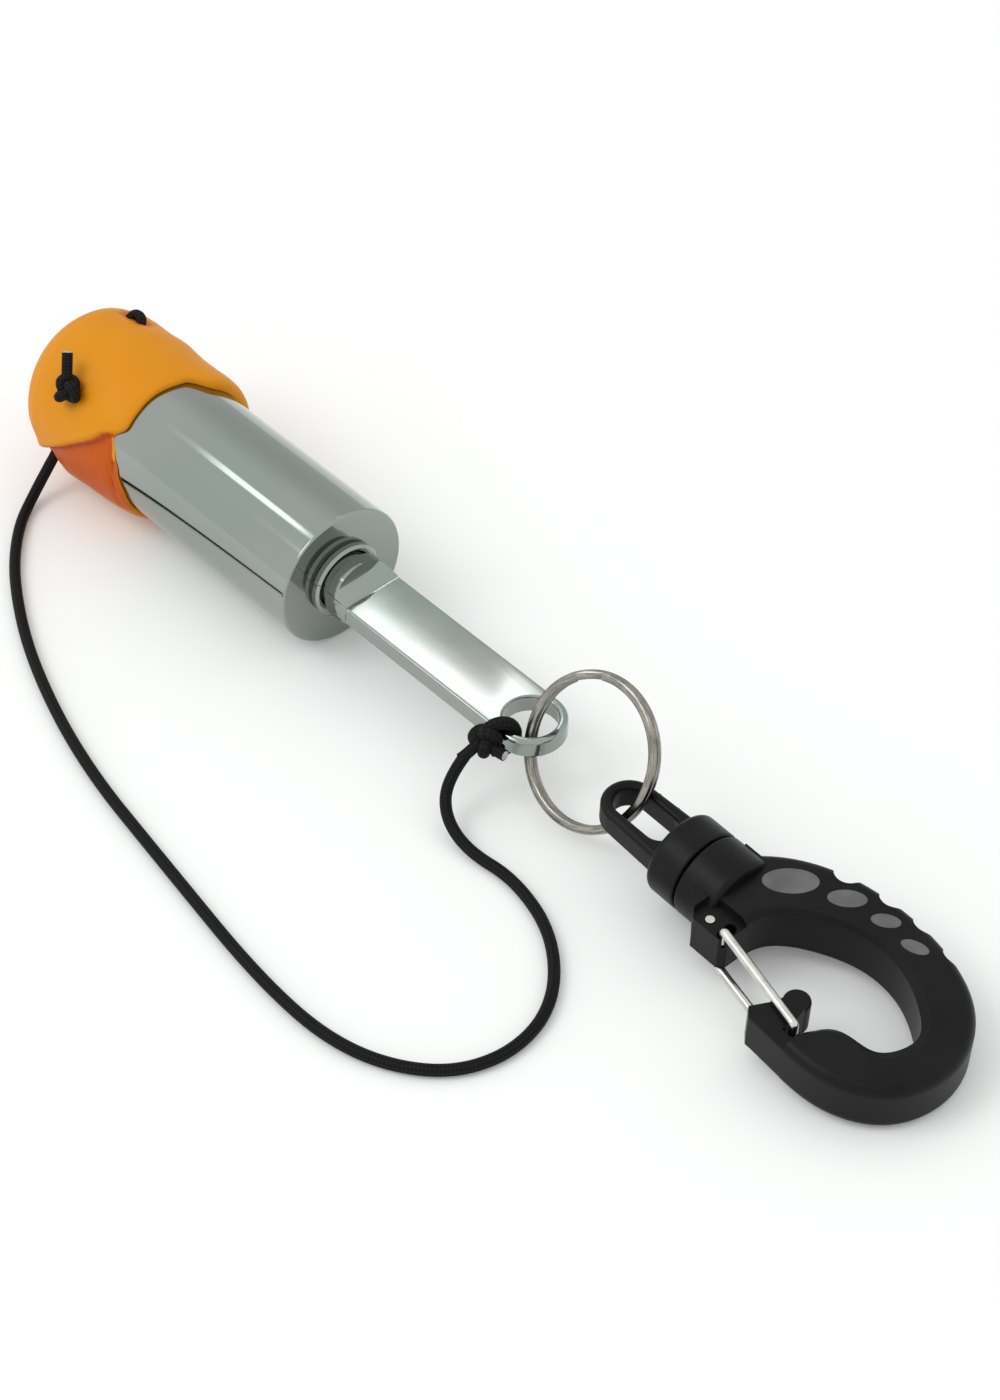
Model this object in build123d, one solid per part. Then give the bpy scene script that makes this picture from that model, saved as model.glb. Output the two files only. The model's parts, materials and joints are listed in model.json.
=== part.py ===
"""A chromed storage tube with a rubber cap on a tether, a flat eye handle, a split ring and a
swivel snap hook.

Everything on the tube is designed in the tube's own frame: X runs along the axis from the cap
to the hook, and the origin is the centre of the face that carries the handle. The hook has its
own frame, with its origin where the split ring passes through the swivel bail. Both are then
laid on the floor, and the whole assembly is moved so that its footprint is centred on the
origin and its lowest point is at z = 0. All sizes are in millimetres.
"""

from build123d import *
import os
from math import atan2, cos, degrees, pi, radians, sin, sqrt, tan

os.makedirs("parts", exist_ok=True)

# ---- Tube ----
tube_d = 26.0
tube_wall = 1.3
tube_length = 56.0
end_wall = 5.0
rim_chamfer = 0.35
mouth_round = 0.5

# ---- Handle: a round bar with two milled flats, an eye and a screwed stud ----
rod_d = 12.4
bar_width = 12.2
bar_thickness = 3.5
bar_end = 53.8
step_x = 5.2
step_radius = 3.0
bar_edge_round = 0.55
groove_width = 0.7
groove_d = 10.6
stud_d = 8.0
stud_clearance = 0.05
eye_wall = 1.45
eye_edge_round = 0.4

# ---- Washer between the handle and the tube ----
washer_d = 14.0
washer_thickness = 1.8
washer_edge_round = 0.45
face_clearance = 0.02

# ---- Rubber cap: its diameters stand over or under the tube's ----
cap_length = 28.0
cap_grip = 9.5
cap_bulge_over = 4.5
cap_rim_over = 3.6
cap_shoulder_over = 3.8
cap_end_under = 6.0
cap_shoulder_back = 6.0
cap_end_wall = 2.6
cap_clearance = 0.15
cap_lead_in = 0.6

# ---- Cord ----
cord_d = 2.0
cord_hole_clearance = 0.05
cord_gap = 0.3
cord_hole_back = 7.7
bight_length = 2.8
bight_bend = 1.2
tether_hole_angle = 215.0
bight_angle = 60.0
knot_hole_angle = 137.0
knot_hole_from_rim = 12.7
cap_knot_d = 4.8
knot_tail_length = 2.6
knot_tail_tilt = 50.0
hitch_x_offset = -1.0
hitch_clearance = 0.25
hitch_knot_d = 5.2

# ---- Tether: its route on the floor, in the assembly's own frame ----
tether_route = (
    (-100.99, -11.25, 6.5),
    (-101.19, -16.35, 1.05),
    (-95.89, -24.45, 1.05),
    (-84.89, -33.45, 1.05),
    (-65.39, -43.75, 1.05),
    (-38.89, -52.25, 1.05),
    (-10.89, -56.65, 1.05),
    (20.61, -61.45, 1.05),
    (40.11, -61.15, 1.05),
    (53.71, -53.75, 1.05),
    (58.41, -42.45, 1.05),
    (55.41, -30.45, 1.05),
    (44.61, -20.45, 1.05),
    (31.11, -16.55, 1.05),
    (20.31, -18.35, 1.15),
    (13.71, -17.25, 3.2),
    (10.11, -13.45, 6.1),
    (10.71, -9.95, 9.6),
)

# ---- Split ring ----
ring_d = 26.4
ring_wire_width = 1.5
ring_stack = 2.1
ring_edge_round = 0.55
ring_centre = (61.1, 0.9, 3.0)
ring_tilt = 57.0

# ---- Swivel bail ----
bail_tip = -5.3
bail_tip_width = 9.6
bail_root_width = 10.6
bail_thickness = 5.0
bail_edge_round = 1.0
slot_start = -3.3
slot_end = 9.2
slot_width = 5.8
slot_edge_round = 0.8
collar_start = 10.4
collar_end = 16.5
barrel_d = 14.6
barrel_round = 1.1
joint_gap = 0.4
stem_d = 6.0
stem_clearance = 0.1
stem_grip_length = 3.6
mushroom_d = 8.6
mushroom_length = 1.8

# ---- Snap hook ----
head_end = 24.4
hook_thickness = 9.4
hook_round = 1.9
hook_bevel = 1.0
boss_thickness = 6.6
nose_step_x = 50.2
lug_centre = (44.9, -8.8)
lug_r = 2.2
scallop_r = 2.4
scallop_depth = 1.8
scallops = ((33.3, 13.5), (41.2, 15.4), (48.0, 15.8), (55.0, 14.9))
hook_bend_end = 69.4

# ---- Soft grip pads, moulded right through the spine: centre, length, width and turn ----
pads = (
    ((28.8, 5.9), 8.9, 5.1, 48.0),
    ((36.9, 10.0), 6.2, 3.5, 44.0),
    ((43.8, 11.3), 4.7, 2.7, 36.0),
    ((50.2, 10.9), 4.6, 2.4, 20.0),
)
pad_clearance = 0.03

# ---- Wire gate ----
wire_d = 1.5
wire_bend = 0.95
pin_hole_clearance = 0.08
leg_clearance = 0.15
gate_pivot = (25.6, -8.2)
gate_end = (48.4, -13.2)
short_leg_start = (29.0, -8.7)
short_leg_depth = 1.6
pin_proud = 0.25
gate_opening = 28.0
slot_clearance = 0.25

# ---- Worked out from the sizes above ----
tube_r = tube_d / 2
cap_bulge_d = tube_d + cap_bulge_over
cap_rim_d = tube_d + cap_rim_over
cap_shoulder_d = tube_d + cap_shoulder_over
cap_end_d = tube_d - cap_end_under
cap_closed_end = -(tube_length - cap_grip + cap_length)
cap_rim_x = -(tube_length - cap_grip)
cap_bulge_x = cap_rim_x - cap_length / 2
cap_inner_r = tube_r + cap_clearance
cord_hole_x = cap_closed_end + cord_hole_back
knot_hole_x = cap_rim_x - knot_hole_from_rim
eye_x = bar_end - bar_width / 2
eye_r = bar_width / 2 - eye_wall
leg_height = boss_thickness / 2 + leg_clearance + wire_d / 2
lie = degrees(atan2((cap_bulge_d - tube_d) / 2, -cap_bulge_x))
droop_run = hook_bend_end - hook_round


def turned(*corners):
    """A solid turned about X from its (x, radius) corners."""
    return revolve(make_face(Polyline(*corners, close=True)), Axis.X)


def along_x(radius, start, end):
    """A round bar along X from start to end."""
    return Pos((start + end) / 2, 0, 0) * Rot(0, 90, 0) * Cylinder(radius, end - start)


def round_the_axis(x, radius, angle):
    """A point at that x, radius and angle round the tube, from +Y towards +Z."""
    return (x, radius * cos(radians(angle)), radius * sin(radians(angle)))


def cord_along(path, diameter):
    """A round cord swept along a path of runs and tangent arcs."""
    start = Plane(origin=path @ 0, z_dir=path % 0)
    return sweep(start * Circle(diameter / 2), path)


def flat_edges(shape, height, tolerance=0.01):
    """The edges that lie in the plane z = height."""
    return shape.edges().filter_by(
        lambda e: all(abs(v.Z - height) < tolerance for v in (e @ 0, e @ 0.5, e @ 1))
    )


# ---- Tube and handle ----


def tube_shell():
    inner_r = tube_r - tube_wall
    bore_r = stud_d / 2 + stud_clearance
    shell = turned(
        (0, bore_r),
        (0, tube_r - rim_chamfer),
        (-rim_chamfer, tube_r),
        (-tube_length + mouth_round, tube_r),
        (-tube_length, tube_r - mouth_round),
        (-tube_length, inner_r),
        (-end_wall, inner_r),
        (-end_wall, bore_r),
    )
    return shell


def face_washer():
    start = face_clearance
    end = washer_thickness
    bore_r = stud_d / 2 + stud_clearance
    outer = washer_d / 2
    return turned(
        (start, bore_r),
        (start, outer - washer_edge_round),
        (start + washer_edge_round, outer),
        (end - washer_edge_round, outer),
        (end, outer - washer_edge_round),
        (end, bore_r),
    )


def handle_bar():
    stud_start = -end_wall + face_clearance
    neck_start = washer_thickness + face_clearance
    rod_start = neck_start + groove_width
    stud = along_x(stud_d / 2, stud_start, neck_start)
    neck = along_x(groove_d / 2, neck_start, rod_start)
    rod = along_x(rod_d / 2, rod_start, step_x + step_radius)
    rod = chamfer(rod.edges().sort_by(Axis.X)[0], washer_edge_round)
    flat = Box(rod_d, 2 * rod_d, rod_d, align=(Align.MIN, Align.CENTER, Align.MIN))
    root = flat.edges().filter_by(Axis.Y).group_by(Axis.X)[0].sort_by(Axis.Z)[0]
    flat = Pos(step_x, 0, bar_thickness / 2) * fillet(root, step_radius)
    rod = rod - flat - mirror(flat, Plane.XY)
    bar = Rectangle(eye_x - step_x, bar_width, align=(Align.MIN, Align.CENTER))
    bar = Pos(step_x, 0, 0) * bar + Pos(eye_x, 0, 0) * Circle(bar_width / 2)
    bar = extrude(bar, bar_thickness / 2, both=True)
    for height in (bar_thickness / 2, -bar_thickness / 2):
        bar = fillet(flat_edges(bar, height), bar_edge_round)
    bar = bar - Pos(eye_x, 0, 0) * Cylinder(eye_r, 2 * bar_thickness)
    rims = bar.edges().filter_by(GeomType.CIRCLE).filter_by(lambda e: abs(e.radius - eye_r) < 0.01)
    bar = fillet(rims, eye_edge_round)
    return stud + neck + rod + bar


# ---- Cap and the cord inside it ----


def cap_cord_path():
    """In at the tether's hole, out and back in at the bight, and out to the stopper knot."""
    outside = cap_shoulder_d / 2 + cord_gap
    points = (
        round_the_axis(cord_hole_x, outside, tether_hole_angle),
        round_the_axis(cord_hole_x, outside, bight_angle),
        round_the_axis(cord_hole_x + bight_length, outside, bight_angle),
        round_the_axis(knot_hole_x, cap_bulge_d / 2 + cord_gap, knot_hole_angle),
    )
    return FilletPolyline(*points, radius=bight_bend)


def cap_cord():
    return cord_along(cap_cord_path(), cord_d)


def end_cap():
    shoulder_x = cap_closed_end + cap_shoulder_back
    outline = Spline(
        (cap_rim_x, cap_rim_d / 2),
        (cap_bulge_x, cap_bulge_d / 2),
        (shoulder_x, cap_shoulder_d / 2),
        (cap_closed_end, cap_end_d / 2),
        tangents=((-1, 0.05), (-0.2, -1)),
    )
    rest = Polyline(
        (cap_closed_end, cap_end_d / 2),
        (cap_closed_end, 0),
        (cap_closed_end + cap_end_wall, 0),
        (cap_closed_end + cap_end_wall, cap_inner_r - cap_lead_in),
        (cap_closed_end + cap_end_wall + cap_lead_in, cap_inner_r),
        (cap_rim_x - cap_lead_in, cap_inner_r),
        (cap_rim_x, cap_inner_r + cap_lead_in / 2),
        (cap_rim_x, cap_rim_d / 2),
    )
    shell = revolve(make_face([outline.edge()] + list(rest.edges())), Axis.X)
    return shell - cord_along(cap_cord_path(), cord_d + 2 * cord_hole_clearance)


def cap_knot():
    middle = cap_bulge_d / 2 + cord_gap + cap_knot_d / 2
    centre = round_the_axis(knot_hole_x, middle, knot_hole_angle)
    knot = Pos(*centre) * Sphere(cap_knot_d / 2)
    reach = cap_knot_d / 2 + knot_tail_length
    tail = Cylinder(cord_d / 2, reach, align=(Align.CENTER, Align.CENTER, Align.MIN))
    turn = Rot(knot_hole_angle - 90 - knot_tail_tilt, 0, 0) * Rot(0, -20, 0)
    return knot + Pos(*centre) * turn * tail


# ---- Tether and its hitch on the eye ----


def tether_cord():
    route = [Vector(*point) for point in tether_route]
    radii = []
    for before, corner, after in zip(route, route[1:], route[2:]):
        turn = radians((corner - before).get_angle(after - corner))
        run = min((corner - before).length, (after - corner).length)
        radii.append(0.45 * run / tan(turn / 2))
    path = FilletPolyline(*route, radius=radii)
    cord = cord_along(path, cord_d)
    print("tether radii", [round(r, 1) for r in radii])
    print("tether length", round(path.length, 1), "tightest", round(min(radii), 2))
    print("volume over section times length", cord.volume / (pi * cord_d**2 / 4 * path.length))
    return cord


def eye_knot():
    wall_y = -(eye_r + eye_wall / 2)
    inside_r = sqrt((eye_wall / 2) ** 2 + (bar_thickness / 2) ** 2) + hitch_clearance
    loop_r = inside_r + cord_d / 2
    x = eye_x + hitch_x_offset
    loop = Pos(x, wall_y, 0) * Rot(0, 90, 0) * Rot(0, 0, 25) * Torus(loop_r, cord_d / 2)
    knot_y = wall_y - loop_r - hitch_knot_d / 4
    return loop + Pos(x, knot_y, 0) * Sphere(hitch_knot_d / 2)


# ---- Split ring ----


def split_ring():
    outer = ring_d / 2
    band = Cylinder(outer, ring_stack) - Cylinder(outer - ring_wire_width, 2 * ring_stack)
    return fillet(band.edges().filter_by(GeomType.CIRCLE), ring_edge_round)


# ---- Swivel bail ----


def swivel_bail():
    tip_r = bail_tip_width / 2
    root_r = bail_root_width / 2
    straight = bail_tip + tip_r
    outline = make_face(
        [
            ThreePointArc((straight, tip_r), (bail_tip, 0), (straight, -tip_r)).edge(),
            Line((straight, -tip_r), (collar_start + 1, -root_r)).edge(),
            Line((collar_start + 1, -root_r), (collar_start + 1, root_r)).edge(),
            Line((collar_start + 1, root_r), (straight, tip_r)).edge(),
        ]
    )
    loop = extrude(outline, bail_thickness / 2, both=True)
    for height in (bail_thickness / 2, -bail_thickness / 2):
        edges = flat_edges(loop, height).filter_by(
            lambda e: (e @ 0.5).X < collar_start + 0.9
        )
        loop = fillet(edges, bail_edge_round)
    slot_length = slot_end - slot_start
    slot = Pos((slot_start + slot_end) / 2, 0, 0) * SlotOverall(slot_length, slot_width)
    loop = loop - extrude(slot, bail_thickness, both=True)
    for height in (bail_thickness / 2, -bail_thickness / 2):
        loop = fillet(flat_edges(loop, height), slot_edge_round)
    collar = along_x(barrel_d / 2, collar_start, collar_end)
    collar = fillet(collar.edges().sort_by(Axis.X)[0], barrel_round)
    collar = fillet(collar.edges().sort_by(Axis.X)[-1], joint_gap)
    stem_end = collar_end + joint_gap + stem_grip_length
    stem = along_x(stem_d / 2, collar_end - 1, stem_end + stem_clearance)
    mushroom = turned(
        (stem_end + stem_clearance, 0),
        (stem_end + stem_clearance, mushroom_d / 2),
        (stem_end + mushroom_length, stem_d / 2 - 0.4),
        (stem_end + mushroom_length, 0),
    )
    return loop + collar + stem + mushroom


# ---- Snap hook ----


def hook_plan():
    outer = Spline(
        (21.0, 6.0),
        (27.0, 11.3),
        (34.0, 14.3),
        (43.5, 15.6),
        (55.0, 14.2),
        (64.0, 9.6),
        (hook_bend_end, 0.0),
        (66.6, -11.6),
        (57.3, -17.0),
        (48.0, -17.2),
        (42.6, -16.9),
    )
    nose = Polyline(
        (42.6, -16.9),
        (41.1, -15.4),
        (43.2, -11.4),
        (43.4, -8.8),
        (46.9, -8.8),
        (47.4, -11.4),
        (47.4, -14.7),
        (49.7, -14.7),
        (49.9, -13.4),
        (51.2, -11.0),
    )
    inner = Spline(
        (51.2, -11.0),
        (54.0, -8.5),
        (59.9, -7.3),
        (62.2, -1.6),
        (58.2, 3.3),
        (51.5, 6.6),
        (43.5, 6.9),
        (36.5, 4.1),
        (31.4, -0.4),
        (30.2, -5.2),
    )
    boss = Polyline(
        (30.2, -5.2),
        (30.2, -8.8),
        (29.2, -9.9),
        (23.6, -9.9),
        (21.0, -7.0),
        (19.0, -5.0),
        (19.0, 6.0),
        (21.0, 6.0),
    )
    edges = [outer.edge()] + list(nose.edges()) + [inner.edge()] + list(boss.edges())
    return make_face(edges)


def gate_slot():
    """The arc in the boss that the short leg's end swings in, about the gate's pivot."""
    reach_x = short_leg_start[0] - gate_pivot[0]
    reach_y = short_leg_start[1] - gate_pivot[1]
    radius = sqrt(reach_x**2 + reach_y**2)
    start = degrees(atan2(reach_y, reach_x))
    half = wire_d / 2 + slot_clearance
    band = Circle(radius + half) - Circle(radius - half)
    wedge = [(0, 0)]
    for step in range(5):
        angle = radians(start + gate_opening * step / 4)
        wedge.append((4 * radius * cos(angle), 4 * radius * sin(angle)))
    band = band & make_face(Polyline(*wedge, close=True))
    for angle in (start, start + gate_opening):
        end = (radius * cos(radians(angle)), radius * sin(radians(angle)))
        band = band + Pos(*end) * Circle(half)
    depth = short_leg_depth + slot_clearance
    top = leg_height + wire_d
    arc = extrude(band, top - (boss_thickness / 2 - depth))
    return Pos(*gate_pivot, boss_thickness / 2 - depth) * arc


def hook_body():
    half = hook_thickness / 2
    plate = extrude(hook_plan(), half, both=True)
    for height in (half, -half):
        rim = flat_edges(plate, height).filter_by(GeomType.BSPLINE)
        outer = rim.sort_by(lambda e: e.length)[-1]
        plate = fillet(outer, hook_round)
    for height in (half, -half):
        rim = flat_edges(plate, height).filter_by(GeomType.BSPLINE)
        inner = rim.sort_by(lambda e: e.length)[0]
        plate = chamfer(inner, hook_bevel)
    thin = half - boss_thickness / 2
    recess = Box(9.6, 13.0, thin, align=(Align.MAX, Align.MIN, Align.MAX))
    boss_cut = Box(8.2, 7.6, thin, align=(Align.MIN, Align.MAX, Align.MAX))
    for side in (1, -1):
        shift = half if side > 0 else -boss_thickness / 2
        plate = plate - Pos(nose_step_x, -18.5, shift) * recess
        plate = plate - Pos(head_end - 1.6, -4.9, shift) * boss_cut
    lug = Pos(*lug_centre, 0) * Cylinder(lug_r, boss_thickness - 0.2)
    lug = fillet(lug.edges().filter_by(GeomType.CIRCLE), 0.7)
    head_start = collar_end + joint_gap
    head = along_x(barrel_d / 2, head_start, head_end)
    head = fillet(head.edges().sort_by(Axis.X)[0], joint_gap)
    head = fillet(head.edges().sort_by(Axis.X)[-1], barrel_round)
    body = plate + lug + head
    for x, y in scallops:
        body = body - Pos(x, y + scallop_r - scallop_depth, 0) * Cylinder(scallop_r, 4 * half)
    for (x, y), length, width, turn in pads:
        grow = 2 * pad_clearance
        hole = extrude(Ellipse((length + grow) / 2, (width + grow) / 2), 2 * half, both=True)
        body = body - Pos(x, y, 0) * Rot(0, 0, turn) * hole
    stem_end = head_start + stem_grip_length
    bore = along_x(stem_d / 2 + stem_clearance, head_start - 1, stem_end + 0.5)
    room = mushroom_d / 2 + 2 * stem_clearance
    cavity = along_x(room, stem_end, stem_end + mushroom_length + 2 * stem_clearance)
    pin = Pos(*gate_pivot, 0) * Cylinder(wire_d / 2 + pin_hole_clearance, 4 * half)
    return body - bore - cavity - pin - gate_slot()


def grip_pad(place):
    (x, y), length, width, turn = pads[place]
    pad = Ellipse(length / 2, width / 2)
    pad = extrude(pad, hook_thickness / 2, both=True)
    return Pos(x, y, 0) * Rot(0, 0, turn) * pad


def gate_wire():
    top = boss_thickness / 2 + pin_proud
    points = (
        (*gate_pivot, top),
        (*gate_pivot, -leg_height),
        (*gate_end, -leg_height),
        (*gate_end, leg_height),
        (*short_leg_start, leg_height),
        (*short_leg_start, boss_thickness / 2 - short_leg_depth),
    )
    return cord_along(FilletPolyline(*points, radius=wire_bend), wire_d)


# ---- Placing ----

tube_parts = {
    "tube_shell": tube_shell(),
    "face_washer": face_washer(),
    "handle_bar": handle_bar(),
    "eye_knot": eye_knot(),
    "end_cap": end_cap(),
    "cap_cord": cap_cord(),
    "cap_knot": cap_knot(),
    "split_ring": Pos(*ring_centre) * Rot(ring_tilt, 0, 0) * split_ring(),
}
hook_parts = {
    "swivel_bail": swivel_bail(),
    "hook_body": hook_body(),
    "gate_wire": gate_wire(),
}
for number in range(len(pads)):
    hook_parts[f"grip_pad_{number + 1}"] = grip_pad(number)

laid = {name: Rot(0, lie, 0) * shape for name, shape in tube_parts.items()}
floor = min(laid[name].bounding_box().min.Z for name in ("tube_shell", "end_cap"))

ring_middle = Rot(0, lie, 0) * Pos(*ring_centre)
ring_mean_r = (ring_d - ring_wire_width) / 2
hook_height = (Rot(0, lie, 0) * Pos(ring_centre[0] + ring_mean_r, 0, 0)).position.Z
ring_drop = (ring_middle.position.Z - hook_height) / sin(radians(ring_tilt))
hook_x = ring_middle.position.X + sqrt(ring_mean_r**2 - ring_drop**2)
hook_y = ring_middle.position.Y - ring_drop * cos(radians(ring_tilt))
droop = degrees(atan2(hook_height - floor - hook_thickness / 2, droop_run))
hook_place = Pos(hook_x, hook_y, hook_height) * Rot(0, droop, 0)
laid.update({name: hook_place * shape for name, shape in hook_parts.items()})

box = Compound([solid for shape in laid.values() for solid in shape.solids()]).bounding_box()
to_origin = Pos(-box.center().X, -box.center().Y, -box.min.Z)
placed = {name: to_origin * shape for name, shape in laid.items()}

placed["tether_cord"] = tether_cord()

for name, shape in placed.items():
    export_step(shape, f"parts/{name}.step")

tube_frame = to_origin * Rot(0, lie, 0)
hook_frame = to_origin * hook_place
print("lie", round(lie, 3), "droop", round(droop, 3))
print("tube frame", tube_frame)
print("hook frame", hook_frame)
print("box", box.size)
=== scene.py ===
# %% [markdown]
# # A chromed storage tube with a rubber cap, a tether and a snap hook
# The object is a small polished metal tube. An orange rubber cap closes one end, and a flat
# handle with an eye is screwed into the other. A split ring joins the eye to a black plastic
# swivel snap hook, and a thin braided cord ties the cap to the handle.
#
# The engineering model is loaded first and stays as it is. This lesson dresses it: shapes that
# are right are copied, welded and shaded, and soft or wound shapes are modelled anew.

# %% Load the frame
import json
from math import atan2, cos, degrees, exp, hypot, pi, radians, sin

import bpy
from mathutils import Matrix, Vector


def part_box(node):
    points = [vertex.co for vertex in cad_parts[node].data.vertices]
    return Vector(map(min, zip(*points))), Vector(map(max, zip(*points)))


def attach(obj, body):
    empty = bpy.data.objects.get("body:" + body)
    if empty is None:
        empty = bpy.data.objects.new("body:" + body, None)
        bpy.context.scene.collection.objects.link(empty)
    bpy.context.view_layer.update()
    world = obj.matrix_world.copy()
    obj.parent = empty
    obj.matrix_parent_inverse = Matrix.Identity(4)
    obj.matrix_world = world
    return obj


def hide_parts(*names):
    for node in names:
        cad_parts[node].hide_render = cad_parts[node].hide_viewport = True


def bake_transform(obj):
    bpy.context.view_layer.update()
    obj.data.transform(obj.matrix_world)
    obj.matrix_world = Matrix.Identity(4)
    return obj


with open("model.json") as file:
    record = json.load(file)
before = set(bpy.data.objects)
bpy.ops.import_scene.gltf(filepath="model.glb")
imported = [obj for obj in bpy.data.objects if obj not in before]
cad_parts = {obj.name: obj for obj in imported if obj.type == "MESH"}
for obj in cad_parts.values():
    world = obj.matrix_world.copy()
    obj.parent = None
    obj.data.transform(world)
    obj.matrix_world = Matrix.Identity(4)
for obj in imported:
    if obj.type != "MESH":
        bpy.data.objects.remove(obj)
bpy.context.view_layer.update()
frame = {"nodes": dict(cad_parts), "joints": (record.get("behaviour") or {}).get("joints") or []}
MM = 0.001
scene = bpy.context.scene
joints = {joint["name"]: joint for joint in frame["joints"]}

# %% [markdown]
# ## Two places to work in
# The tube and the hook don't lie quite level, so modelling them in the world's axes would be
# awkward. Each gets a matrix instead. The tube's place has its X axis along the tube and its
# origin on the middle of the face with the handle. The hook's place has X along the swivel and
# its origin at the swivel joint's own point. Both come from the loaded model.

# %% The tube's place and the hook's place
tube_axis = -Vector(joints["cap_pull"]["axis"])
lie = atan2(-tube_axis.z, tube_axis.x)
low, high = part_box("tube_shell")
tube_r = (high.y - low.y) / 2
tube_length = (high.x - low.x - 2 * tube_r * sin(lie)) / cos(lie)
tube_face = (low + high) / 2 + tube_axis * tube_length / 2
tube_place = Matrix.Translation(tube_face) @ Matrix.Rotation(lie, 4, "Y")
swivel = joints["hook_swivel"]
hook_axis = Vector(swivel["axis"])
droop = atan2(-hook_axis.z, hook_axis.x)
hook_place = Matrix.Translation(swivel["pos_m"]) @ Matrix.Rotation(droop, 4, "Y")
print("tube radius and length", round(tube_r / MM, 2), round(tube_length / MM, 2))

# %% [markdown]
# ## The camera
# A long lens from above and in front of the hook, on the handle's side. It comes first, because
# everything after it is judged through it.

# %% Camera
camera_at = Vector((0.3018, -0.2507, 0.3740))
looking = Vector((-0.5563, 0.4748, -0.6820)).normalized()
sideways = Vector((0.6673, 0.7443, -0.0254)).normalized()
upwards = sideways.cross(looking).normalized()
camera = bpy.data.objects.new("camera", bpy.data.cameras.new("camera"))
camera.data.lens = 83.56
camera.data.sensor_width = 36.0
camera.data.clip_start = 0.01
turn = Matrix((sideways, upwards, -looking)).transposed()
camera.matrix_world = Matrix.Translation(camera_at) @ turn.to_4x4()
scene.collection.objects.link(camera)
scene.camera = camera

# %% [markdown]
# ## Helpers for shapes
# Four helpers cover the object. `copied` takes a machined or moulded part from the frame, welds
# its loose triangles and shades it. `turned` spins an outline about X, as a lathe would.
# `smooth_line` reads the points of a NURBS curve, and `skinned` wraps a tube round any line and
# gives it a UV map, so that a braid can follow it.


# %% Selecting and finishing
def only(piece):
    """Selects this piece alone."""
    bpy.ops.object.select_all(action="DESELECT")
    piece.select_set(True)
    bpy.context.view_layer.objects.active = piece


def shaded(piece, angle=30.0, weighted=False):
    """Smooth shading, with a corner wherever the surface turns by more than the angle."""
    only(piece)
    bpy.ops.object.shade_smooth_by_angle(angle=radians(angle))
    if weighted:
        even = piece.modifiers.new("flat faces stay flat", "WEIGHTED_NORMAL")
        even.keep_sharp = True
        bpy.ops.object.modifier_apply(modifier=even.name)
    return piece


def new_piece(name, mesh):
    piece = bpy.data.objects.new(name, mesh)
    scene.collection.objects.link(piece)
    return piece


# %% Copying a part of the frame
def copied(node, name, angle=30.0):
    """A welded and shaded copy of a part, which then stands for it."""
    piece = new_piece(name, frame["nodes"][node].data.copy())
    only(piece)
    bpy.ops.object.mode_set(mode="EDIT")
    bpy.ops.mesh.select_all(action="SELECT")
    bpy.ops.mesh.customdata_custom_splitnormals_clear()
    bpy.ops.mesh.remove_doubles(threshold=0.002 * MM)
    bpy.ops.object.mode_set(mode="OBJECT")
    shaded(piece, angle, weighted=True)
    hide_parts(node)
    print(name, "faces", len(piece.data.polygons))
    return piece


# %% Turning an outline on the lathe
def walked(corners, step):
    """The corners of an outline with points added so that no stretch is longer than step."""
    points = [Vector(corners[0])]
    for a, b in zip(corners, corners[1:]):
        a, b = Vector(a), Vector(b)
        pieces = max(1, round((b - a).length / step))
        points += [a.lerp(b, i / pieces) for i in range(1, pieces + 1)]
    return points


def turned(name, outline, steps=128, closed=False):
    """A solid spun about X from an outline of (x, radius) points in millimetres."""
    mesh = bpy.data.meshes.new(name)
    count = len(outline)
    edges = [(i, i + 1) for i in range(count - 1)]
    if closed:
        edges.append((count - 1, 0))
    mesh.from_pydata([(x * MM, 0, r * MM) for x, r in outline], edges, [])
    piece = new_piece(name, mesh)
    only(piece)
    bpy.ops.object.mode_set(mode="EDIT")
    bpy.ops.mesh.select_all(action="SELECT")
    bpy.ops.mesh.spin(steps=steps, angle=2 * pi, center=(0, 0, 0), axis=(1, 0, 0))
    bpy.ops.mesh.select_all(action="SELECT")
    bpy.ops.mesh.remove_doubles(threshold=0.01 * MM)
    bpy.ops.mesh.select_all(action="SELECT")
    bpy.ops.mesh.normals_make_consistent(inside=False)
    bpy.ops.object.mode_set(mode="OBJECT")
    return piece


def placed(piece, place):
    """Moves a piece's mesh to its place and leaves the object at the origin."""
    piece.data.transform(place)
    return piece


# %% Lines and skins
def smooth_line(points, resolution=14):
    """The points along a NURBS curve with these control points."""
    curve = bpy.data.curves.new("line", "CURVE")
    curve.dimensions = "3D"
    spline = curve.splines.new("NURBS")
    spline.points.add(len(points) - 1)
    for point, place in zip(spline.points, points):
        point.co = (*place, 1)
    spline.order_u = 3
    spline.use_endpoint_u = True
    spline.resolution_u = resolution
    holder = new_piece("line", curve)
    mesh = bpy.data.meshes.new_from_object(holder)
    line = [vertex.co.copy() for vertex in mesh.vertices]
    bpy.data.objects.remove(holder)
    bpy.data.curves.remove(curve)
    bpy.data.meshes.remove(mesh)
    return line


def round_section(radius, sides=20):
    return [
        (radius * cos(2 * pi * i / sides), radius * sin(2 * pi * i / sides)) for i in range(sides)
    ]


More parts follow.
